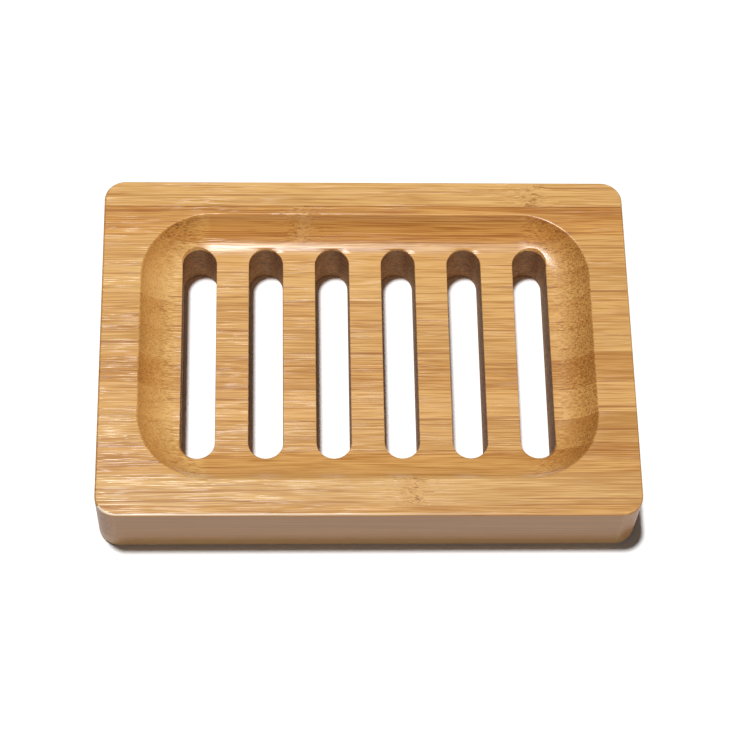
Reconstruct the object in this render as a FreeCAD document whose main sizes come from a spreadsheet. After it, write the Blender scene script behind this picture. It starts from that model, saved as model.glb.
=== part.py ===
"""Soap dish cut from one board of laminated bamboo.

Bamboo strips stand on edge and are glued broad face to broad face, all running along the dish.
The board is then sawn to its outline, rounded along its edges, hollowed by a wide cove cutter
into a shallow soap recess, and pierced by round-ended drain slots that run across the strips.
The slots saw the middle strips into short blocks, so each block is a piece of its own.

Frame: millimetres, +X along the strips, +Y to the back, +Z up, origin under the middle of the dish.
"""
import FreeCAD
import Part
import Sketcher
import math
import os
from FreeCAD import Vector

# Every driving size in millimetres: alias, value, what it measures
SIZES = (
    ("dish_length", 120.0, "outside length along the strips"),
    ("dish_height", 17.0, "thickness of the board"),
    ("corner_radius", 4.8, "upright outer corners, in plan"),
    ("edge_round", 0.5, "round along the outer top edge"),
    ("bottom_bevel", 0.5, "eased outer bottom edge"),
    ("rim_width", 8.8, "flat rim between the outside and the recess lip"),
    ("recess_depth", 4.5, "rim down to the flat floor"),
    ("recess_corner", 16.0, "corner radius of the recess lip, in plan"),
    ("cove_radius", 10.5, "hollow round between floor and lip"),
    ("lip_bevel", 0.32, "eased edge of the recess lip"),
    ("slot_pitch", 15.2, "drain slot to drain slot"),
    ("slot_width", 7.8, "width of a drain slot"),
    ("slot_end_wall", 1.5, "bamboo left behind a slot's end, up to the next glue line"),
    ("slot_edge_bevel", 0.1, "eased edges of the drain slots"),
    ("strip_thickness", 7.5, "planed thickness of a bamboo strip"),
    ("front_strip_thickness", 2.4, "what the saw leaves of the front strip"),
    ("back_strip_thickness", 6.6, "what the saw leaves of the back strip"),
    ("overrun", 2.0, "how far cutters and blanks run past the board"),
)
SLOT_COUNT = 6
STRIP_COUNT = 12
# The strips that the slots saw right through, counted from the front
SAWN_STRIPS = range(4, 10)
TOLERANCE_SHARE = 1e-6
# Degrees from upright at which the slots' eased edges lean outwards
SLOT_BEVEL_LEAN = 45

INNER_STRIPS = f"{STRIP_COUNT - 2} * Sizes.strip_thickness"
DISH_WIDTH = f"(Sizes.front_strip_thickness + {INNER_STRIPS} + Sizes.back_strip_thickness)"
RECESS_LENGTH = "(Sizes.dish_length - 2 * Sizes.rim_width)"
RECESS_WIDTH = f"({DISH_WIDTH} - 2 * Sizes.rim_width)"
FLOOR_HEIGHT = "(Sizes.dish_height - Sizes.recess_depth)"
FIRST_SLOT_X = f"-Sizes.slot_pitch * {SLOT_COUNT - 1} / 2"
# The lip cuts the cove short of a quarter round, so the whole round stands this far outside the lip
COVE_RUN = "sqrt(2 * Sizes.cove_radius * Sizes.recess_depth - Sizes.recess_depth ^ 2)"
COVE_BEYOND_LIP = f"(Sizes.cove_radius - {COVE_RUN})"


def glue_line(number):
    """Where the back face of a strip lies, as an expression; the first strip is number 1."""
    if number == 0:
        return f"-{DISH_WIDTH} / 2"
    if number == STRIP_COUNT:
        return f"{DISH_WIDTH} / 2"
    return f"Sizes.front_strip_thickness + {number - 1} * Sizes.strip_thickness - {DISH_WIDTH} / 2"


# The slots end inside the strip behind the last one that they saw through
SLOT_LENGTH = f"2 * ({glue_line(SAWN_STRIPS.stop)} - Sizes.slot_end_wall)"

doc = FreeCAD.newDocument("soap_dish")
sheet = doc.addObject("Spreadsheet::Sheet", "Sizes")
for row, (alias, value, meaning) in enumerate(SIZES, start=1):
    sheet.set(f"A{row}", meaning)
    sheet.set(f"B{row}", str(value))
    sheet.setAlias(f"B{row}", alias)
doc.recompute()


def size(expression):
    """The present value of an expression on the sheet's sizes."""
    return float(sheet.evalExpression(expression.replace("Sizes.", "")))


def add_sketch(body, name, lift="0"):
    """A sketch on the body's own XY plane, raised by an expression."""
    sketch = body.newObject("Sketcher::SketchObject", name)
    plane = next(part for part in body.Origin.OriginFeatures if part.Role == "XY_Plane")
    sketch.AttachmentSupport = [(plane, "")]
    sketch.MapMode = "FlatFace"
    sketch.setExpression("AttachmentOffset.Base.z", lift)
    return sketch


def set_size(sketch, name, expression, kind, *where):
    """A named dimension in a sketch, bound to the sheet."""
    index = sketch.addConstraint(Sketcher.Constraint(kind, *where, size(expression)))
    sketch.renameConstraint(index, name)
    sketch.setExpression(f"Constraints.{name}", expression)


def draw_rounded_rectangle(sketch, length, width, radius):
    """Four lines and four tangent corner arcs, centred on the sketch's origin."""
    half_x = size(length) / 2
    half_y = size(width) / 2
    corner = size(radius)
    flat_x = half_x - corner
    flat_y = half_y - corner
    runs = (
        (Vector(-flat_x, -half_y), Vector(flat_x, -half_y), Vector(flat_x, -flat_y), 3),
        (Vector(half_x, -flat_y), Vector(half_x, flat_y), Vector(flat_x, flat_y), 0),
        (Vector(flat_x, half_y), Vector(-flat_x, half_y), Vector(-flat_x, flat_y), 1),
        (Vector(-half_x, flat_y), Vector(-half_x, -flat_y), Vector(-flat_x, -flat_y), 2),
    )
    quarter = math.pi / 2
    lines = []
    arcs = []
    for start, end, centre, turns in runs:
        circle = Part.Circle(centre, Vector(0, 0, 1), corner)
        lines.append(sketch.addGeometry(Part.LineSegment(start, end)))
        arcs.append(sketch.addGeometry(Part.ArcOfCircle(circle, turns * quarter, (turns + 1) * quarter)))
    for side, line in enumerate(lines):
        sketch.addConstraint(Sketcher.Constraint("Tangent", line, 2, arcs[side], 1))
        sketch.addConstraint(Sketcher.Constraint("Tangent", arcs[side], 2, lines[(side + 1) % 4], 1))
        sketch.addConstraint(Sketcher.Constraint("Vertical" if side % 2 else "Horizontal", line))
    for arc in arcs[1:]:
        sketch.addConstraint(Sketcher.Constraint("Equal", arcs[0], arc))
    sketch.addConstraint(Sketcher.Constraint("Symmetric", lines[0], 1, lines[2], 1, -1, 1))
    set_size(sketch, "length", length, "DistanceX", lines[3], 1, lines[1], 1)
    set_size(sketch, "width", width, "DistanceY", lines[0], 1, lines[2], 1)
    set_size(sketch, "corner", radius, "Radius", arcs[0])


def draw_slot(sketch, width, length):
    """Two long lines and two half-round ends, centred on the sketch's origin, along Y."""
    radius = size(width) / 2
    reach = size(length) / 2 - radius
    right = sketch.addGeometry(Part.LineSegment(Vector(radius, -reach), Vector(radius, reach)))
    back_circle = Part.Circle(Vector(0, reach), Vector(0, 0, 1), radius)
    back = sketch.addGeometry(Part.ArcOfCircle(back_circle, 0, math.pi))
    left = sketch.addGeometry(Part.LineSegment(Vector(-radius, reach), Vector(-radius, -reach)))
    front_circle = Part.Circle(Vector(0, -reach), Vector(0, 0, 1), radius)
    front = sketch.addGeometry(Part.ArcOfCircle(front_circle, math.pi, 2 * math.pi))
    loop = (right, back, left, front)
    for step, curve in enumerate(loop):
        sketch.addConstraint(Sketcher.Constraint("Tangent", curve, 2, loop[(step + 1) % 4], 1))
    sketch.addConstraint(Sketcher.Constraint("Vertical", right))
    sketch.addConstraint(Sketcher.Constraint("Symmetric", back, 3, front, 3, -1, 1))
    set_size(sketch, "end_radius", f"{width} / 2", "Radius", back)
    set_size(sketch, "centres", f"{length} - {width}", "DistanceY", front, 3, back, 3)


def edge_names(shape, wanted):
    """Names of the edges that pass a test."""
    return [f"Edge{number}" for number, edge in enumerate(shape.Edges, start=1) if wanted(edge)]


def same(first, second):
    return abs(first - second) < size("Sizes.dish_length") * TOLERANCE_SHARE


def lies_at(edge, height):
    return same(edge.BoundBox.ZMin, height) and same(edge.BoundBox.ZMax, height)


def dress_edges(body, kind, name, wanted, measure, expression):
    """Rounds or bevels the edges of the body's last feature that pass a test."""
    base = body.Tip
    dressing = body.newObject(f"PartDesign::{kind}", name)
    dressing.Base = (base, edge_names(base.Shape, wanted))
    dressing.setExpression(measure, expression)
    doc.recompute()


def round_edges(body, name, wanted, radius):
    dress_edges(body, "Fillet", name, wanted, "Radius", radius)


def bevel_edges(body, name, wanted, leg):
    dress_edges(body, "Chamfer", name, wanted, "Size", leg)


# The recess cutter: a tall rounded block with a full cove round its lower edge
cutter = doc.addObject("PartDesign::Body", "recess_cutter")
cutter_outline = add_sketch(cutter, "cutter_outline", FLOOR_HEIGHT)
draw_rounded_rectangle(
    cutter_outline,
    f"{RECESS_LENGTH} + 2 * {COVE_BEYOND_LIP}",
    f"{RECESS_WIDTH} + 2 * {COVE_BEYOND_LIP}",
    f"Sizes.recess_corner + {COVE_BEYOND_LIP}",
)
cutter_pad = cutter.newObject("PartDesign::Pad", "cutter_pad")
cutter_pad.Profile = cutter_outline
cutter_pad.setExpression("Length", "Sizes.cove_radius + Sizes.overrun")
doc.recompute()
round_edges(cutter, "cutter_cove", lambda edge: lies_at(edge, size(FLOOR_HEIGHT)), "Sizes.cove_radius")

# The board, sawn to its outline, rounded along its top edge and eased along its bottom edge
dish = doc.addObject("PartDesign::Body", "dish_form")
board_outline = add_sketch(dish, "board_outline")
draw_rounded_rectangle(board_outline, "Sizes.dish_length", DISH_WIDTH, "Sizes.corner_radius")
board = dish.newObject("PartDesign::Pad", "board")
board.Profile = board_outline
board.setExpression("Length", "Sizes.dish_height")
doc.recompute()
top = size("Sizes.dish_height")
round_edges(dish, "top_round", lambda edge: lies_at(edge, top), "Sizes.edge_round")
bevel_edges(dish, "bottom_edge", lambda edge: lies_at(edge, 0), "Sizes.bottom_bevel")
board_volume = dish.Shape.Volume

# The soap recess, with its lip eased where the cove meets the flat rim
recess = dish.newObject("PartDesign::Boolean", "recess")
recess.Type = "Cut"
recess.setObjects([cutter])
doc.recompute()


def on_lip(edge):
    """Whether an edge lies on the flat rim, inside the rim's middle line."""
    reach_x = max(abs(edge.BoundBox.XMin), abs(edge.BoundBox.XMax))
    reach_y = max(abs(edge.BoundBox.YMin), abs(edge.BoundBox.YMax))
    inside_x = reach_x < size("(Sizes.dish_length - Sizes.rim_width) / 2")
    inside_y = reach_y < size(f"({DISH_WIDTH} - Sizes.rim_width) / 2")
    return lies_at(edge, top) and inside_x and inside_y


bevel_edges(dish, "lip", on_lip, "Sizes.lip_bevel")
recessed_volume = dish.Shape.Volume

# The drain slots: one is cut and its edges are eased at the floor and at the underside by a
# slanted cutter that stays at one height, then all of that is repeated along the dish
def add_slot_cut(name, lift, flare):
    """One cut at the first slot's place, whose outline stands off the slot by an expression."""
    outline = add_sketch(dish, f"{name}_outline", lift)
    outline.setExpression("AttachmentOffset.Base.x", FIRST_SLOT_X)
    draw_slot(outline, f"(Sizes.slot_width + 2 * {flare})", f"({SLOT_LENGTH} + 2 * {flare})")
    cut = dish.newObject("PartDesign::Pocket", name)
    cut.Profile = outline
    return cut


slot = add_slot_cut("slot", "Sizes.dish_height + Sizes.overrun", "0")
slot.Type = "ThroughAll"
doc.recompute()
SLOT_FLARE = "(Sizes.slot_edge_bevel + Sizes.overrun)"
floor_bevel = add_slot_cut("floor_bevel", f"{FLOOR_HEIGHT} + Sizes.overrun", SLOT_FLARE)
underside_bevel = add_slot_cut("underside_bevel", "-Sizes.overrun", SLOT_FLARE)
underside_bevel.Reversed = True
for bevel in (floor_bevel, underside_bevel):
    bevel.TaperAngle = -SLOT_BEVEL_LEAN
    bevel.setExpression("Length", SLOT_FLARE)
doc.recompute()
slots = dish.newObject("PartDesign::LinearPattern", "slots")
slots.Originals = [slot, floor_bevel, underside_bevel]
slots.Direction = (slot.Profile[0], ["H_Axis"])
slots.setExpression("Length", f"Sizes.slot_pitch * {SLOT_COUNT - 1}")
slots.Occurrences = SLOT_COUNT
dish.Tip = slots
doc.recompute()
slotted_volume = dish.Shape.Volume
if not board_volume > recessed_volume > slotted_volume:
    raise RuntimeError("the recess or the slots cut nothing")

# The strips and blocks: the finished form shared out among the blanks that were glued up
pieces = []


def slot_line(number):
    """The middle line of a slot, or the end of the blanks past the first and last slot."""
    if number == 0:
        return "-Sizes.dish_length / 2 - Sizes.overrun"
    if number > SLOT_COUNT:
        return "Sizes.dish_length / 2 + Sizes.overrun"
    return f"{FIRST_SLOT_X} + {number - 1} * Sizes.slot_pitch"


def add_share(label, form, left, right, front, back):
    """What a finished form leaves of one blank."""
    blank = doc.addObject("Part::Box", f"blank_{label}")
    blank.setExpression("Length", f"({right}) - ({left})")
    blank.setExpression("Width", f"({back}) - ({front})")
    blank.setExpression("Height", "Sizes.dish_height + 2 * Sizes.overrun")
    blank.setExpression("Placement.Base.x", left)
    blank.setExpression("Placement.Base.y", front)
    blank.setExpression("Placement.Base.z", "-Sizes.overrun")
    share = doc.addObject("Part::Common", label)
    share.Label = label
    share.Base = form
    share.Tool = blank
    return share


for number in range(1, STRIP_COUNT + 1):
    front = glue_line(number - 1)
    back = glue_line(number)
    label = f"strip_{number:02d}"
    strip = add_share(label, dish, slot_line(0), slot_line(SLOT_COUNT + 1), front, back)
    if number not in SAWN_STRIPS:
        pieces.append(strip)
        continue
    for block in range(SLOT_COUNT + 1):
        place = {0: "left_end", SLOT_COUNT: "right_end"}.get(block, f"rib_{block}")
        left = slot_line(block)
        right = slot_line(block + 1)
        pieces.append(add_share(f"{label}_{place}", strip, left, right, front, back))
doc.recompute()

# Nothing is written unless every feature holds and the pieces make up the whole dish
for item in doc.Objects:
    if {"Invalid", "Error"} & set(item.State):
        raise RuntimeError(f"{item.Label} failed: {item.State}")
for piece in pieces:
    if piece.Shape.isNull() or not piece.Shape.isValid() or not piece.Shape.Solids:
        raise RuntimeError(f"{piece.Label} is not a sound solid")
whole = dish.Shape.Volume
if abs(sum(piece.Shape.Volume for piece in pieces) - whole) > whole * TOLERANCE_SHARE:
    raise RuntimeError("the pieces do not make up the dish")

os.makedirs("parts", exist_ok=True)
for piece in pieces:
    piece.Shape.exportStep(f"parts/{piece.Label}.step")
solids = sum(len(piece.Shape.Solids) for piece in pieces)
print(f"{len(pieces)} pieces, {solids} solids, {whole:.0f} cubic mm")
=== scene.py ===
import bmesh
import bpy
from mathutils import Matrix, Vector


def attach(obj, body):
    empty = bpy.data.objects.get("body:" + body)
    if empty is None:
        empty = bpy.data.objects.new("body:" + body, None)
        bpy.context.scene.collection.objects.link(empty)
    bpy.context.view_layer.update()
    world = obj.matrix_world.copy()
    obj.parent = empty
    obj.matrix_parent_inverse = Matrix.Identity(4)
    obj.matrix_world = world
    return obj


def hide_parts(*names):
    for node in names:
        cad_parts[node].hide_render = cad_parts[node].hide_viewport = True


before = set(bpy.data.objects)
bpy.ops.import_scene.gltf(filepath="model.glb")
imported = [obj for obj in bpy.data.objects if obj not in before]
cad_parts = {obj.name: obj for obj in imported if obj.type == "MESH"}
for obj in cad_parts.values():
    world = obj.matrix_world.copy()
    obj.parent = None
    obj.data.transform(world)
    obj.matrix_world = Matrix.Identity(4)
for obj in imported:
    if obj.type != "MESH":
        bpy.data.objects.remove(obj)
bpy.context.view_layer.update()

scene = bpy.context.scene
scene.view_settings.view_transform = "Standard"

# The viewpoint: a long lens, well above the dish and a little to its left, looking down at the
# recess so that the front face shows as a narrow band.
view_right = Vector((0.999064, -0.018959, 0.038902))
view_up = Vector((-0.000112, 0.897799, 0.440406))
view_spot = Vector((-0.021576, -0.243719, 0.497462))
view_data = bpy.data.cameras.new("viewpoint")
view_data.lens = 115.0
view_data.sensor_width = 36.0
view_data.sensor_fit = "HORIZONTAL"
view_data.clip_start = 0.01
viewpoint = bpy.data.objects.new("viewpoint", view_data)
view_axes = Matrix((view_right, view_up, view_right.cross(view_up))).transposed()
viewpoint.matrix_world = Matrix.Translation(view_spot) @ view_axes.to_4x4()
scene.collection.objects.link(viewpoint)
scene.camera = viewpoint

# The table: a seamless sheet of white paper under a softbox. It is exposed to pure white and still
# takes the dish's soft shadow.
table_reach = 1.5
table_drop = 0.00002
paper_bounce = (0.34, 0.34, 0.34, 1)
paper_white = (1.06, 1.06, 1.07, 1)
table_mesh = bpy.data.meshes.new("white_paper")
paper = bmesh.new()
bmesh.ops.create_grid(paper, x_segments=4, y_segments=4, size=table_reach)
bmesh.ops.translate(paper, vec=(0, 0, -table_drop), verts=paper.verts)
paper.to_mesh(table_mesh)
paper.free()
table = bpy.data.objects.new("white_paper", table_mesh)
scene.collection.objects.link(table)

paper_finish = bpy.data.materials.new("white_paper")
paper_finish.use_nodes = True
paper_nodes = paper_finish.node_tree.nodes
paper_links = paper_finish.node_tree.links
paper_nodes.clear()
paper_path = paper_nodes.new("ShaderNodeLightPath")
paper_seen = paper_nodes.new("ShaderNodeMath")
paper_seen.operation = "MAXIMUM"
paper_mirrored = paper_nodes.new("ShaderNodeMath")
paper_mirrored.operation = "MAXIMUM"
paper_tone = paper_nodes.new("ShaderNodeMix")
paper_tone.data_type = "RGBA"
paper_tone.inputs["A"].default_value = paper_bounce
paper_tone.inputs["B"].default_value = paper_white
paper_surface = paper_nodes.new("ShaderNodeBsdfDiffuse")
paper_out = paper_nodes.new("ShaderNodeOutputMaterial")
paper_links.new(paper_path.outputs["Is Camera Ray"], paper_seen.inputs[0])
paper_links.new(paper_path.outputs["Is Glossy Ray"], paper_mirrored.inputs[0])
paper_links.new(paper_path.outputs["Is Transmission Ray"], paper_mirrored.inputs[1])
paper_links.new(paper_mirrored.outputs[0], paper_seen.inputs[1])
paper_links.new(paper_seen.outputs[0], paper_tone.inputs["Factor"])
paper_links.new(paper_tone.outputs["Result"], paper_surface.inputs["Color"])
paper_links.new(paper_surface.outputs["BSDF"], paper_out.inputs["Surface"])
table_mesh.materials.append(paper_finish)

# The light: one small softbox almost overhead, a little behind and to the left of the dish, and a
# broad dim card low in front of it, in a dark room that hardly fills the shadows.
softbox_data = bpy.data.lights.new("softbox", "AREA")
softbox_data.shape = "DISK"
softbox_data.size = 0.27
softbox_data.energy = 89.0
softbox = bpy.data.objects.new("softbox", softbox_data)
softbox.location = (-0.34, 0.27, 2.97)
card_data = bpy.data.lights.new("front_card", "AREA")
card_data.size = 0.5
card_data.energy = 1.1
card_data.specular_factor = 0.0
card = bpy.data.objects.new("front_card", card_data)
card.location = (0, -0.9, 0.06)
for lamp in (softbox, card):
    lamp.rotation_euler = lamp.location.to_track_quat("Z", "Y").to_euler()
    scene.collection.objects.link(lamp)
room_fill = 0.04
room_white = 1.0
room = bpy.data.worlds.new("dim_room")
room.use_nodes = True
room_nodes = room.node_tree.nodes
room_wall = room_nodes["Background"]
room_wall.inputs["Color"].default_value = (1, 1, 1, 1)
room_seen = room_nodes.new("ShaderNodeLightPath")
room_level = room_nodes.new("ShaderNodeMapRange")
room_level.inputs["To Min"].default_value = room_fill
room_level.inputs["To Max"].default_value = room_white
room.node_tree.links.new(room_seen.outputs["Is Camera Ray"], room_level.inputs["Value"])
room.node_tree.links.new(room_level.outputs["Result"], room_wall.inputs["Strength"])
scene.world = room

# The front rim: a sliver of strip that the saw left along the front edge, and the two whole strips
# behind it. Split bamboo is planed square, stood on edge, glued under pressure and lacquered.
strip_pitch = 7.5
dish_front = -42.0
front_sliver = 2.4


def wire(tree, kind, sockets=(), **settings):
    """One node with its settings, and its inputs set to values or joined to other nodes."""
    made = tree.nodes.new(kind)
    for setting, value in settings.items():
        setattr(made, setting, value)
    for socket, value in dict(sockets).items():
        if isinstance(value, bpy.types.NodeSocket):
            tree.links.new(value, made.inputs[socket])
        else:
            made.inputs[socket].default_value = value
    return made


def calc(tree, operation, first, second=0.0, third=0.0):
    """A sum on values that change over the surface."""
    values = {0: first, 1: second, 2: third}
    return wire(tree, "ShaderNodeMath", values, operation=operation).outputs[0]


def times(tree, first, *others):
    """A product of values that change over the surface."""
    for other in others:
        first = calc(tree, "MULTIPLY", first, other)
    return first


def plus(tree, total, amount, field):
    """A total with some amount of a field added to it."""
    return calc(tree, "MULTIPLY_ADD", field, amount, total)


def centred(tree, field):
    """A field from nought to one, shifted to swing about nought."""
    return calc(tree, "SUBTRACT", field, 0.5)


def ramp(tree, value, start, end, low=0.0, high=1.0):
    """A soft step between two levels as a value passes from start to end."""
    levels = {"Value": value, "From Min": start, "From Max": end, "To Min": low, "To Max": high}
    return wire(tree, "ShaderNodeMapRange", levels, interpolation_type="SMOOTHSTEP").outputs["Result"]


def stretch(tree, place, along, across, up):
    """Places squeezed or drawn out along the strip, across it and upwards."""
    scaled = {0: place, 1: (along, across, up)}
    return wire(tree, "ShaderNodeVectorMath", scaled, operation="MULTIPLY").outputs[0]


def cloud(tree, place, detail=2.0, coarseness=0.5):
    """A soft random field; the first output is a value and the second three of them."""
    settings = {"Vector": place, "Scale": 1.0, "Detail": detail, "Roughness": coarseness}
    return wire(tree, "ShaderNodeTexNoise", settings).outputs


def blend(tree, amount, first, second, way="MIX"):
    """One colour laid over another."""
    mix = wire(tree, "ShaderNodeMix", data_type="RGBA", blend_type=way)
    for socket, value in ((0, amount), (6, first), (7, second)):
        if isinstance(value, bpy.types.NodeSocket):
            tree.links.new(value, mix.inputs[socket])
        else:
            mix.inputs[socket].default_value = value
    return mix.outputs[2]


def make_bamboo():
    """Split bamboo in the solid: fibre bundles that run along the strip, so one field shows as dots
    on sawn ends and as long streaks on planed faces."""
    tree = bpy.data.node_groups.new("split_bamboo", "ShaderNodeTree")
    sockets = (
        ("Place", "INPUT", "NodeSocketVector"),
        ("Facing", "INPUT", "NodeSocketVector"),
        ("Culm", "INPUT", "NodeSocketVector"),
        ("Front face", "INPUT", "NodeSocketFloat"),
        ("Thickness", "INPUT", "NodeSocketFloat"),
        ("Skin side", "INPUT", "NodeSocketFloat"),
        ("Pale", "INPUT", "NodeSocketColor"),
        ("Deep", "INPUT", "NodeSocketColor"),
        ("Tone", "INPUT", "NodeSocketFloat"),
        ("Front line", "INPUT", "NodeSocketFloat"),
        ("Back line", "INPUT", "NodeSocketFloat"),
        ("Knuckle", "INPUT", "NodeSocketFloat"),
        ("Knuckle strength", "INPUT", "NodeSocketFloat"),
        ("Edge wear", "INPUT", "NodeSocketFloat"),
        ("Right end", "INPUT", "NodeSocketFloat"),
        ("Color", "OUTPUT", "NodeSocketColor"),
        ("Roughness", "OUTPUT", "NodeSocketFloat"),
        ("Height", "OUTPUT", "NodeSocketFloat"),
    )
    for name, direction, kind in sockets:
        tree.interface.new_socket(name=name, in_out=direction, socket_type=kind)
    given = tree.nodes.new("NodeGroupInput").outputs
    result = tree.nodes.new("NodeGroupOutput").inputs

    # Places in millimetres, and the same places moved into this strip's own piece of culm
    in_a_metre = 1000.0
    enlarged = {0: given["Place"], 3: in_a_metre}
    place = wire(tree, "ShaderNodeVectorMath", enlarged, operation="SCALE").outputs[0]
    along, across, up = wire(tree, "ShaderNodeSeparateXYZ", {0: place}).outputs
    culm = wire(tree, "ShaderNodeVectorMath", {0: place, 1: given["Culm"]}, operation="ADD").outputs[0]
    culm_x, culm_y, culm_z = wire(tree, "ShaderNodeSeparateXYZ", {0: culm}).outputs

    # A knuckle is a short band where the fibres swerve; further out they still ripple
    knuckle_reach = 2.6
    ripple_reach = 8.0
    knuckle_sway = 2.0
    ripple_sway = 0.5
    from_knuckle = calc(tree, "SUBTRACT", along, given["Knuckle"])
    swells = []
    for reach in (knuckle_reach, ripple_reach):
        square = calc(tree, "POWER", calc(tree, "DIVIDE", from_knuckle, reach), 2.0)
        bell = calc(tree, "EXPONENT", calc(tree, "MULTIPLY", square, -1.0))
        swells.append(calc(tree, "MULTIPLY", bell, given["Knuckle strength"]))
    knuckle, ripple = swells
    sway = plus(tree, calc(tree, "MULTIPLY", ripple, ripple_sway), knuckle_sway, knuckle)
    swerve = cloud(tree, stretch(tree, culm, 0.3, 0.25, 0.25))[1]
    swerve_y, swerve_z, _ = wire(tree, "ShaderNodeSeparateXYZ", {0: swerve}).outputs

    # Fibres wander slowly and climb a little along the strip
    wander_width = 0.5
    climb = 0.013
    wander = cloud(tree, stretch(tree, culm, 0.018, 0.12, 0.12))[1]
    wander_y, wander_z, _ = wire(tree, "ShaderNodeSeparateXYZ", {0: wander}).outputs
    fibre_y = plus(tree, culm_y, wander_width, centred(tree, wander_y))
    fibre_y = plus(tree, fibre_y, sway, centred(tree, swerve_y))
    fibre_z = plus(tree, culm_z, wander_width, centred(tree, wander_z))
    fibre_z = plus(tree, fibre_z, climb, culm_x)
    fibre_z = plus(tree, fibre_z, sway, centred(tree, swerve_z))
    fibre = wire(tree, "ShaderNodeCombineXYZ", {0: culm_x, 1: fibre_y, 2: fibre_z}).outputs[0]
    section = wire(tree, "ShaderNodeCombineXYZ", {0: fibre_y, 1: fibre_z, 2: 0.0}).outputs[0]

    # How far across the strip, from its front face to its back, and from its pith to its skin
    from_front = calc(tree, "SUBTRACT", across, given["Front face"])
    from_back = calc(tree, "SUBTRACT", given["Thickness"], from_front)
    depth = calc(tree, "DIVIDE", from_front, given["Thickness"])
    flip = plus(tree, -1.0, 2.0, given["Skin side"])
    skin = plus(tree, 0.5, flip, centred(tree, depth))

    # The bundles: dark dots in the section, small and close near the skin, larger and sparse inside
    close_packing = {"Vector": section, "Scale": 2.5, "Randomness": 0.95}
    sparse_packing = {"Vector": section, "Scale": 1.7, "Randomness": 0.95}
    close = wire(tree, "ShaderNodeTexVoronoi", close_packing, voronoi_dimensions="2D").outputs
    sparse = wire(tree, "ShaderNodeTexVoronoi", sparse_packing, voronoi_dimensions="2D").outputs
    close_tone = wire(tree, "ShaderNodeSeparateXYZ", {0: close["Color"]}).outputs[0]
    sparse_tone = wire(tree, "ShaderNodeSeparateXYZ", {0: sparse["Color"]}).outputs[0]
    close_dot = times(tree, ramp(tree, close["Distance"], 0.44, 0.2), ramp(tree, close_tone, 0.1, 0.8),
                      ramp(tree, skin, 0.1, 0.75, low=0.3))
    sparse_dot = times(tree, ramp(tree, sparse["Distance"], 0.36, 0.18), ramp(tree, sparse_tone, 0.1, 0.8),
                       ramp(tree, skin, 0.9, 0.35, low=0.2))
    bundle = calc(tree, "MAXIMUM", close_dot, sparse_dot)

    # Faces cut across the fibres: on one side the fibres lie over, on the other the pores are open.
    # Faces planed along them are calm
    facing_x, facing_y, _ = wire(tree, "ShaderNodeSeparateXYZ", {0: given["Facing"]}).outputs
    laid_over = ramp(tree, facing_x, 0.05, 0.7)
    open_pores = ramp(tree, facing_x, -0.05, -0.7)
    sawn = calc(tree, "ADD", laid_over, open_pores)
    planed_side = ramp(tree, calc(tree, "ABSOLUTE", facing_y), 0.86, 0.98)
    calm = plus(tree, 1.0, -0.7, planed_side)

    # The walls of the drain slots are whatever lies inside this box
    slots_reach_along = 42.2
    slots_reach_across = 26.6
    slots_top = 12.44
    slots_foot = 0.06
    in_slot = times(tree, calc(tree, "LESS_THAN", calc(tree, "ABSOLUTE", along), slots_reach_along),
                    calc(tree, "LESS_THAN", calc(tree, "ABSOLUTE", across), slots_reach_across),
                    calc(tree, "LESS_THAN", up, slots_top), calc(tree, "GREATER_THAN", up, slots_foot))

    # Fine fibres, dark hairs, pores, broader streaks and slow changes of tone
    fine = cloud(tree, stretch(tree, fibre, 0.02, 4.2, 4.2), 2.0, 0.8)[0]
    hair_field = cloud(tree, stretch(tree, fibre, 0.03, 6.5, 6.5), 0.0)[0]
    pore = cloud(tree, stretch(tree, culm, 3.2, 3.2, 3.2), 1.0, 0.6)[0]
    streak = cloud(tree, stretch(tree, fibre, 0.012, 1.1, 1.1), 1.0)[0]
    slow = cloud(tree, stretch(tree, fibre, 0.006, 0.15, 0.15), 0.0)[0]
    speckle = plus(tree, 3.8, -2.9, laid_over)
    speckle = plus(tree, speckle, -1.8, open_pores)
    hair = times(tree, ramp(tree, hair_field, 0.6, 0.72), calc(tree, "SUBTRACT", 1.0, sawn))
    pitted = times(tree, centred(tree, pore), sawn)
    figure = times(tree, centred(tree, fine), speckle)
    figure = plus(tree, figure, 0.45, hair)
    figure = plus(tree, figure, 2.1, pitted)
    figure = plus(tree, figure, 0.6, centred(tree, streak))
    figure = plus(tree, figure, 0.5, centred(tree, slow))

    # From pale to deep: the strip's own tone, its figure, its skin side and its right end
    mixed = plus(tree, given["Tone"], calm, figure)
    mixed = plus(tree, mixed, 0.12, centred(tree, skin))
    to_right = times(tree, ramp(tree, along, 16.0, 54.0), ramp(tree, depth, 0.0, 1.0, low=0.15, high=1.6))
    mixed = plus(tree, mixed, given["Right end"], to_right)
    wood = blend(tree, ramp(tree, mixed, -0.1, 1.1), given["Pale"], given["Deep"])

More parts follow.
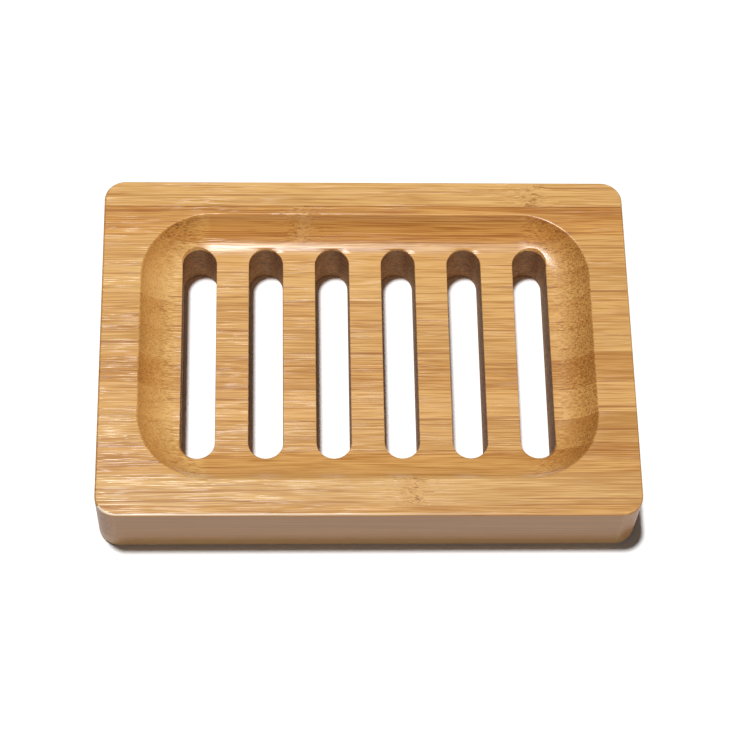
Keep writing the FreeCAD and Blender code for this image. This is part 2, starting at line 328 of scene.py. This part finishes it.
    # Tints by the way a face points, partly the lacquer's uneven take on cut fibres and partly painted light:
    # upright walls facing right are painted lighter, open pores darker and redder with painted shade, the
    # steep cove and the forward-facing back cove get painted shade, and the cove's shallow left foot a
    # painted sheen
    back_cove_painted_shade = (0.95, 0.87, 0.78, 1)
    pore_tint_and_painted_shade = (0.93, 0.83, 0.66, 1)
    steep_painted_shade = (1.05, 0.93, 0.77, 1)
    shallow_painted_sheen = (1.07, 1.14, 1.22, 1)
    upright = calc(tree, "MAXIMUM", in_slot, ramp(tree, facing_x, 0.84, 0.95))
    leaning = calc(tree, "SUBTRACT", 1.0, upright)
    # Painted light: upright walls that face right are made lighter, faces that face left a little darker
    facing_painted_light = times(tree, laid_over, ramp(tree, across, -18.0, 22.0, low=0.36, high=0.16))
    facing_painted_light = plus(tree, 1.0, upright, facing_painted_light)
    facing_painted_light = plus(tree, facing_painted_light, -0.16, open_pores)
    wood = wire(tree, "ShaderNodeVectorMath", {0: wood, 3: facing_painted_light}, operation="SCALE").outputs[0]
    # Painted shade on the back cove, the open pores and the steep cove, and a painted sheen on the shallow
    # foot
    back_cove_shade_mask = times(tree, ramp(tree, facing_y, -0.12, -0.5), ramp(tree, across, 18.0, 24.0))
    steep_shade_mask = times(tree, ramp(tree, facing_x, 0.2, 0.75), leaning)
    shallow_sheen_mask = times(tree, ramp(tree, facing_x, 0.0, 0.06), ramp(tree, facing_x, 0.4, 0.12), leaning)
    wood = blend(tree, back_cove_shade_mask, wood, back_cove_painted_shade, "MULTIPLY")
    wood = blend(tree, open_pores, wood, pore_tint_and_painted_shade, "MULTIPLY")
    wood = blend(tree, steep_shade_mask, wood, steep_painted_shade, "MULTIPLY")
    wood = blend(tree, shallow_sheen_mask, wood, shallow_painted_sheen, "MULTIPLY")

    # Bundles show most in open pores, in the torn back corner and on the end grain
    bundle_brown = (0.16, 0.058, 0.014, 1)
    torn = times(tree, ramp(tree, facing_x, 0.1, 0.35), ramp(tree, across, 23.0, 30.0))
    end_grain = ramp(tree, calc(tree, "ABSOLUTE", facing_x), 0.86, 0.97, high=0.6)
    dot = plus(tree, 0.10, 0.02, laid_over)
    dot = plus(tree, dot, 0.62, open_pores)
    dot = plus(tree, dot, 0.6, torn)
    dot = calc(tree, "MAXIMUM", dot, end_grain)
    wood = blend(tree, times(tree, bundle, calm, dot), wood, bundle_brown)

    # Long red-brown threads where a bundle lies just under the lacquer
    thread_red = (0.30, 0.085, 0.022, 1)
    thread_field = cloud(tree, stretch(tree, fibre, 0.012, 1.4, 1.4), 0.0)[0]
    thread = times(tree, ramp(tree, thread_field, 0.66, 0.76, high=0.5), calm,
                   plus(tree, 1.0, -0.8, laid_over))
    wood = blend(tree, thread, wood, thread_red)

    # Glue lines, broken along their length; a strong one has a fainter echo beside it
    glue_red = (0.26, 0.072, 0.018, 1)
    line_width = 0.2
    line_core = 0.04
    echo_place = 0.9
    echo_width = 0.16
    worn = ramp(tree, cloud(tree, stretch(tree, culm, 0.05, 0.3, 0.3), 2.0, 0.6)[0], 0.35, 0.6)
    front_line = times(tree, ramp(tree, from_front, line_width, line_core), given["Front line"])
    back_line = times(tree, ramp(tree, from_back, line_width, line_core), given["Back line"])
    from_echo = calc(tree, "ABSOLUTE", calc(tree, "SUBTRACT", from_back, echo_place))
    strong = ramp(tree, given["Back line"], 0.7, 1.0, high=0.8)
    echo = times(tree, ramp(tree, from_echo, echo_width, line_core), strong)
    line = calc(tree, "MAXIMUM", calc(tree, "MAXIMUM", front_line, back_line), echo)
    line = times(tree, line, worn, plus(tree, 1.0, -0.85, laid_over))
    wood = blend(tree, line, wood, glue_red)

    # The knuckle itself: a pale patch with short dark wrinkles
    knuckle_pale = (0.72, 0.40, 0.15, 1)
    wrinkle_brown = (0.24, 0.09, 0.022, 1)
    pale_patch = times(tree, knuckle, ramp(tree, swerve_y, 0.36, 0.58, high=0.6))
    wrinkle_field = cloud(tree, stretch(tree, culm, 0.6, 1.8, 1.8), 2.0, 0.6)[0]
    wrinkle = times(tree, knuckle, ramp(tree, wrinkle_field, 0.55, 0.64, high=0.7))
    wood = blend(tree, pale_patch, wood, knuckle_pale)
    wood = blend(tree, wrinkle, wood, wrinkle_brown)

    # The front face is sanded after the board is sawn and tinted warmer. Its foot is painted lighter to lift
    # the shade that falls there, and along its top edge runs a painted highlight, strongest at the left end
    front_face_tint = (1.22, 0.98, 0.59, 1)
    edge_painted_highlight = (1.0, 0.88, 0.68, 1)
    foot_painted_light = (0.98, 0.6, 0.29, 1)
    edge_from = 16.4
    foot_from = 5.6
    foot_full = 0.8
    front = times(tree, ramp(tree, facing_y, -0.3, -0.6), given["Edge wear"])
    edge = times(tree, ramp(tree, facing_y, -0.04, -0.2), ramp(tree, facing_y, -0.9, -0.65),
                 calc(tree, "GREATER_THAN", up, edge_from), ramp(tree, along, 45.0, -35.0, low=0.1),
                 given["Edge wear"])
    foot_light_mask = times(tree, ramp(tree, up, foot_from, foot_full, high=0.95), front)
    wood = blend(tree, front, wood, front_face_tint, "MULTIPLY")
    # A painted highlight along the top edge, then painted light on the foot
    wood = blend(tree, edge, wood, edge_painted_highlight)
    wood = blend(tree, foot_light_mask, wood, foot_painted_light)

    # Inside the drain slots the walls carry saw marks and are dull; their sides are painted darker and their
    # round ends lighter and greyer, as painted shade and painted light
    slot_wall_grey = (0.46, 0.45, 0.44, 1)
    saw_marks = cloud(tree, stretch(tree, place, 1.2, 1.2, 2.2), 2.0, 0.6)[0]
    slot_end = ramp(tree, facing_y, -0.1, -0.6)
    # Painted shade on the slot sides and painted light on the slot ends, over real saw marks
    slot_light_and_saw_marks = plus(tree, 0.88, 0.5, slot_end)
    slot_light_and_saw_marks = plus(tree, slot_light_and_saw_marks, 3.0, centred(tree, saw_marks))
    slot_light_and_saw_marks = plus(tree, 1.0, in_slot, calc(tree, "SUBTRACT", slot_light_and_saw_marks, 1.0))
    slot_greying = times(tree, in_slot, plus(tree, 0.09, 0.16, slot_end))
    wood = wire(tree, "ShaderNodeVectorMath", {0: wood, 3: slot_light_and_saw_marks}, operation="SCALE").outputs[0]
    wood = blend(tree, slot_greying, wood, slot_wall_grey)
    tree.links.new(wood, result["Color"])

    # Lacquer sinks into open fibres and leaves short fine grooves that catch the light
    groove = cloud(tree, stretch(tree, fibre, 0.09, 6.0, 6.0), 0.0)[0]
    patchy = cloud(tree, stretch(tree, culm, 0.05, 0.3, 0.3), 1.0)[0]
    groove = times(tree, ramp(tree, groove, 0.5, 0.75), ramp(tree, patchy, 0.35, 0.65, low=0.35),
                   plus(tree, 1.0, -0.75, knuckle), ramp(tree, facing_x, -0.03, -0.12, low=1.0, high=0.1))
    height = times(tree, groove, calm, ramp(tree, sawn, 0.0, 0.3, low=1.0, high=0.1))
    height = plus(tree, height, -0.4, times(tree, bundle, open_pores))
    height = plus(tree, height, 2.0, times(tree, pore, ramp(tree, facing_x, -0.06, -0.2)))
    tree.links.new(height, result["Height"])

    # The lacquer is a little duller on cut fibres, and the slots have almost none
    lacquer_roughness = 0.25
    gloss = plus(tree, lacquer_roughness, 0.06, centred(tree, streak))
    gloss = plus(tree, gloss, 0.12, sawn)
    gloss = plus(tree, gloss, 0.4, in_slot)
    tree.links.new(gloss, result["Roughness"])
    return tree


bamboo = make_bamboo()


lacquer_index = 1.46
sanded_index = 1.4
groove_depth = 0.000014
culm_step = Vector((137.0, 41.0, 23.0))


def strip_finish(name, number, pale, deep, **look):
    """Lacquered bamboo for one strip, counted from the front of the dish."""
    finish = bpy.data.materials.new(name)
    finish.use_nodes = True
    tree = finish.node_tree
    surface = tree.nodes["Principled BSDF"]
    surface.inputs["IOR"].default_value = sanded_index if number == 1 else lacquer_index
    front = dish_front if number == 1 else dish_front + front_sliver + strip_pitch * (number - 2)
    group = wire(tree, "ShaderNodeGroup", node_tree=bamboo)
    group.inputs["Culm"].default_value = culm_step * number
    group.inputs["Front face"].default_value = front
    group.inputs["Thickness"].default_value = front_sliver if number == 1 else strip_pitch
    group.inputs["Skin side"].default_value = number % 2
    group.inputs["Pale"].default_value = (*pale, 1)
    group.inputs["Deep"].default_value = (*deep, 1)
    for setting, value in look.items():
        group.inputs[setting.replace("_", " ").capitalize()].default_value = value
    spot = wire(tree, "ShaderNodeTexCoord")
    side = wire(tree, "ShaderNodeNewGeometry")
    relief = wire(tree, "ShaderNodeBump", {"Strength": 1.0, "Distance": groove_depth})
    tree.links.new(spot.outputs["Object"], group.inputs["Place"])
    tree.links.new(side.outputs["Normal"], group.inputs["Facing"])
    tree.links.new(group.outputs["Height"], relief.inputs["Height"])
    tree.links.new(group.outputs["Color"], surface.inputs["Base Color"])
    tree.links.new(group.outputs["Roughness"], surface.inputs["Roughness"])
    tree.links.new(relief.outputs["Normal"], surface.inputs["Normal"])
    return finish


def make_planing():
    """Follows the router: the faceted cove is laid back on its true round, and only real edges stay
    crisp."""
    tree = bpy.data.node_groups.new("routed_recess", "GeometryNodeTree")
    tree.is_modifier = True
    sockets = (
        ("Blocks", "INPUT", "NodeSocketGeometry"),
        ("Half length", "INPUT", "NodeSocketFloat"),
        ("Half width", "INPUT", "NodeSocketFloat"),
        ("Corner", "INPUT", "NodeSocketFloat"),
        ("Floor height", "INPUT", "NodeSocketFloat"),
        ("Cove radius", "INPUT", "NodeSocketFloat"),
        ("Rim height", "INPUT", "NodeSocketFloat"),
        ("Lip radius", "INPUT", "NodeSocketFloat"),
        ("Lip start", "INPUT", "NodeSocketFloat"),
        ("Lip end", "INPUT", "NodeSocketFloat"),
        ("Cuts", "INPUT", "NodeSocketInt"),
        ("Crisp angle", "INPUT", "NodeSocketFloat"),
        ("Finish", "INPUT", "NodeSocketMaterial"),
        ("Strip", "OUTPUT", "NodeSocketGeometry"),
    )
    for name, direction, kind in sockets:
        tree.interface.new_socket(name=name, in_out=direction, socket_type=kind)
    given = tree.nodes.new("NodeGroupInput").outputs
    result = tree.nodes.new("NodeGroupOutput").inputs
    cut = wire(tree, "GeometryNodeSubdivideMesh", {"Mesh": given["Blocks"], "Level": given["Cuts"]})

    # How far each point lies outside the flat floor's rounded outline
    point = tree.nodes.new("GeometryNodeInputPosition").outputs[0]
    x, y, z = wire(tree, "ShaderNodeSeparateXYZ", {0: point}).outputs
    straight_x = calc(tree, "SUBTRACT", given["Half length"], given["Corner"])
    straight_y = calc(tree, "SUBTRACT", given["Half width"], given["Corner"])
    past_x = calc(tree, "MAXIMUM", calc(tree, "SUBTRACT", calc(tree, "ABSOLUTE", x), straight_x), 0.0)
    past_y = calc(tree, "MAXIMUM", calc(tree, "SUBTRACT", calc(tree, "ABSOLUTE", y), straight_y), 0.0)
    square = calc(tree, "ADD", calc(tree, "MULTIPLY", past_x, past_x), calc(tree, "MULTIPLY", past_y, past_y))
    outside = calc(tree, "MAXIMUM", calc(tree, "SUBTRACT", calc(tree, "SQRT", square), given["Corner"]), 0.0)

    # The height there of the cove, and of the round that eases its lip into the rim
    radius_square = calc(tree, "MULTIPLY", given["Cove radius"], given["Cove radius"])
    fall = calc(tree, "SQRT", calc(tree, "SUBTRACT", radius_square, calc(tree, "MULTIPLY", outside, outside)))
    cove = calc(tree, "SUBTRACT", calc(tree, "ADD", given["Floor height"], given["Cove radius"]), fall)
    short = calc(tree, "SUBTRACT", given["Lip end"], outside)
    lip_square = calc(tree, "MULTIPLY", given["Lip radius"], given["Lip radius"])
    swell = calc(tree, "SQRT", calc(tree, "SUBTRACT", lip_square, calc(tree, "MULTIPLY", short, short)))
    lip = calc(tree, "ADD", calc(tree, "SUBTRACT", given["Rim height"], given["Lip radius"]), swell)
    on_lip = calc(tree, "GREATER_THAN", outside, given["Lip start"])
    rule = calc(tree, "MULTIPLY_ADD", calc(tree, "SUBTRACT", lip, cove), on_lip, cove)

    # A point belongs to them if it lies close to that height, inside the rim's flat
    cove_slack = 0.00003
    lip_slack = 0.00009
    off = calc(tree, "ABSOLUTE", calc(tree, "SUBTRACT", z, rule))
    slack = plus(tree, cove_slack, lip_slack, on_lip)
    within = times(tree, calc(tree, "GREATER_THAN", outside, 0.0), calc(tree, "GREATER_THAN", short, 0.0))
    on_cove = calc(tree, "MULTIPLY", calc(tree, "LESS_THAN", off, slack), within)
    spot = wire(tree, "ShaderNodeCombineXYZ", {0: x, 1: y, 2: rule}).outputs[0]
    routed = wire(tree, "GeometryNodeSetPosition",
                  {"Geometry": cut.outputs["Mesh"], "Selection": on_cove, "Position": spot})

    # Crisp where two faces really meet at an angle, smooth everywhere else
    angle = tree.nodes.new("GeometryNodeInputMeshEdgeAngle").outputs["Unsigned Angle"]
    soft_edge = calc(tree, "LESS_THAN", angle, given["Crisp angle"])
    faces = wire(tree, "GeometryNodeSetShadeSmooth", {"Geometry": routed.outputs[0], "Shade Smooth": True})
    edges = wire(tree, "GeometryNodeSetShadeSmooth",
                 {"Geometry": faces.outputs[0], "Shade Smooth": soft_edge}, domain="EDGE")
    whole = wire(tree, "GeometryNodeRealizeInstances", {"Geometry": edges.outputs[0]})
    coated = wire(tree, "GeometryNodeSetMaterial",
                  {"Geometry": whole.outputs[0], "Material": given["Finish"]})
    tree.links.new(coated.outputs[0], result["Strip"])
    return tree


routed_recess = make_planing()


weld_distance = 0.000001


def lay_strip(name, blocks, finish, cuts=2):
    """One strip of the board: its blocks welded up, routed to the cove's true round and lacquered."""
    welded = bmesh.new()
    for block in blocks:
        welded.from_mesh(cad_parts[block].data)
    bmesh.ops.remove_doubles(welded, verts=welded.verts, dist=weld_distance)
    mesh = bpy.data.meshes.new(name)
    welded.to_mesh(mesh)
    welded.free()
    if "custom_normal" in mesh.attributes:
        mesh.attributes.remove(mesh.attributes["custom_normal"])
    mesh.materials.clear()
    strip = bpy.data.objects.new(name, mesh)
    scene.collection.objects.link(strip)
    router = strip.modifiers.new("routed_recess", "NODES")
    router.node_group = routed_recess
    sizes = {
        "Half length": 0.042583,
        "Half width": 0.024583,
        "Corner": 0.007383,
        "Floor height": 0.0125,
        "Cove radius": 0.0105,
        "Rim height": 0.017,
        "Lip radius": 0.000613,
        "Lip start": 0.008434,
        "Lip end": 0.008937,
        "Cuts": cuts,
        "Crisp angle": 0.62,
        "Finish": finish,
    }
    evened = strip.modifiers.new("even_shading", "WEIGHTED_NORMAL")
    evened.keep_sharp = True
    for item in routed_recess.interface.items_tree:
        if item.in_out == "INPUT" and item.name in sizes:
            router[item.identifier] = sizes[item.name]
    routed = strip.evaluated_get(bpy.context.evaluated_depsgraph_get())
    shaped = bpy.data.meshes.new_from_object(routed)
    strip.modifiers.clear()
    strip.data = shaped
    shaped.name = name
    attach(strip, "root")
    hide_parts(*blocks)


honey_pale = (0.78, 0.445, 0.153)
honey_deep = (0.49, 0.22, 0.054)
pale_pale = (0.80, 0.475, 0.172)
pale_deep = (0.52, 0.245, 0.062)
straw_pale = (0.80, 0.492, 0.19)
straw_deep = (0.53, 0.26, 0.073)
amber_pale = (0.75, 0.41, 0.132)
amber_deep = (0.45, 0.19, 0.042)
lay_strip("front_edge_strip", ["strip_01"], cuts=0, finish=strip_finish(
    "front_edge_bamboo", 1, honey_pale, honey_deep, tone=0.5, back_line=0.3, edge_wear=0.8))
lay_strip("front_rim_strip", ["strip_02"], finish=strip_finish(
    "front_rim_bamboo", 2, straw_pale, straw_deep, tone=0.4, right_end=0.24,
    front_line=0.3, back_line=0.2, knuckle=9.4, knuckle_strength=1.0))
lay_strip("front_cove_strip", ["strip_03"], finish=strip_finish(
    "front_cove_bamboo", 3, amber_pale, amber_deep, tone=0.25, right_end=0.36,
    front_line=0.2, back_line=0.65))

# The sawn strips: six strips across the middle of the dish. The drain slots saw each into two long
# ends and five short rib blocks, which the neighbouring strips still hold in line.


def sawn_blocks(number):
    """The names of a sawn strip's blocks, from left to right."""
    places = ["left_end", *(f"rib_{rib}" for rib in range(1, 6)), "right_end"]
    return [f"strip_{number:02d}_{place}" for place in places]


lay_strip("rib_strip_1", sawn_blocks(4), finish=strip_finish(
    "rib_1_bamboo", 4, pale_pale, pale_deep, tone=0.52, right_end=0.45,
    front_line=0.4, back_line=0.3))
lay_strip("rib_strip_2", sawn_blocks(5), finish=strip_finish(
    "rib_2_bamboo", 5, honey_pale, honey_deep, tone=0.22, front_line=0.3, back_line=0.5))
lay_strip("rib_strip_3", sawn_blocks(6), finish=strip_finish(
    "rib_3_bamboo", 6, amber_pale, amber_deep, tone=0.48, right_end=0.16,
    front_line=0.6, back_line=0.3))
lay_strip("rib_strip_4", sawn_blocks(7), finish=strip_finish(
    "rib_4_bamboo", 7, pale_pale, pale_deep, tone=0.6, right_end=-0.12,
    front_line=0.3, back_line=0.4))
lay_strip("rib_strip_5", sawn_blocks(8), finish=strip_finish(
    "rib_5_bamboo", 8, honey_pale, honey_deep, tone=0.4, right_end=-0.02,
    front_line=0.5, back_line=0.4))
lay_strip("rib_strip_6", sawn_blocks(9), finish=strip_finish(
    "rib_6_bamboo", 9, pale_pale, pale_deep, tone=0.22, right_end=0.25,
    front_line=0.4, back_line=0.3))

# The back rim: the strip that takes the slots' round ends, the one that the cove climbs, and the
# back edge strip, which the saw has trimmed a little.
lay_strip("back_slot_strip", ["strip_10"], finish=strip_finish(
    "back_slot_bamboo", 10, honey_pale, honey_deep, tone=0.2, right_end=0.14,
    front_line=0.3, back_line=0.5))
ripe_pale = (0.75, 0.395, 0.115)
ripe_deep = (0.45, 0.175, 0.035)
lay_strip("back_cove_strip", ["strip_11"], finish=strip_finish(
    "back_cove_bamboo", 11, ripe_pale, ripe_deep, tone=0.4, right_end=0.1,
    front_line=0.5, back_line=1.0, knuckle=-15.0, knuckle_strength=0.8))
lay_strip("back_edge_strip", ["strip_12"], cuts=0, finish=strip_finish(
    "back_edge_bamboo", 12, pale_pale, pale_deep, tone=0.3, right_end=-0.1,
    front_line=0.8, knuckle=38.6, knuckle_strength=1.0))
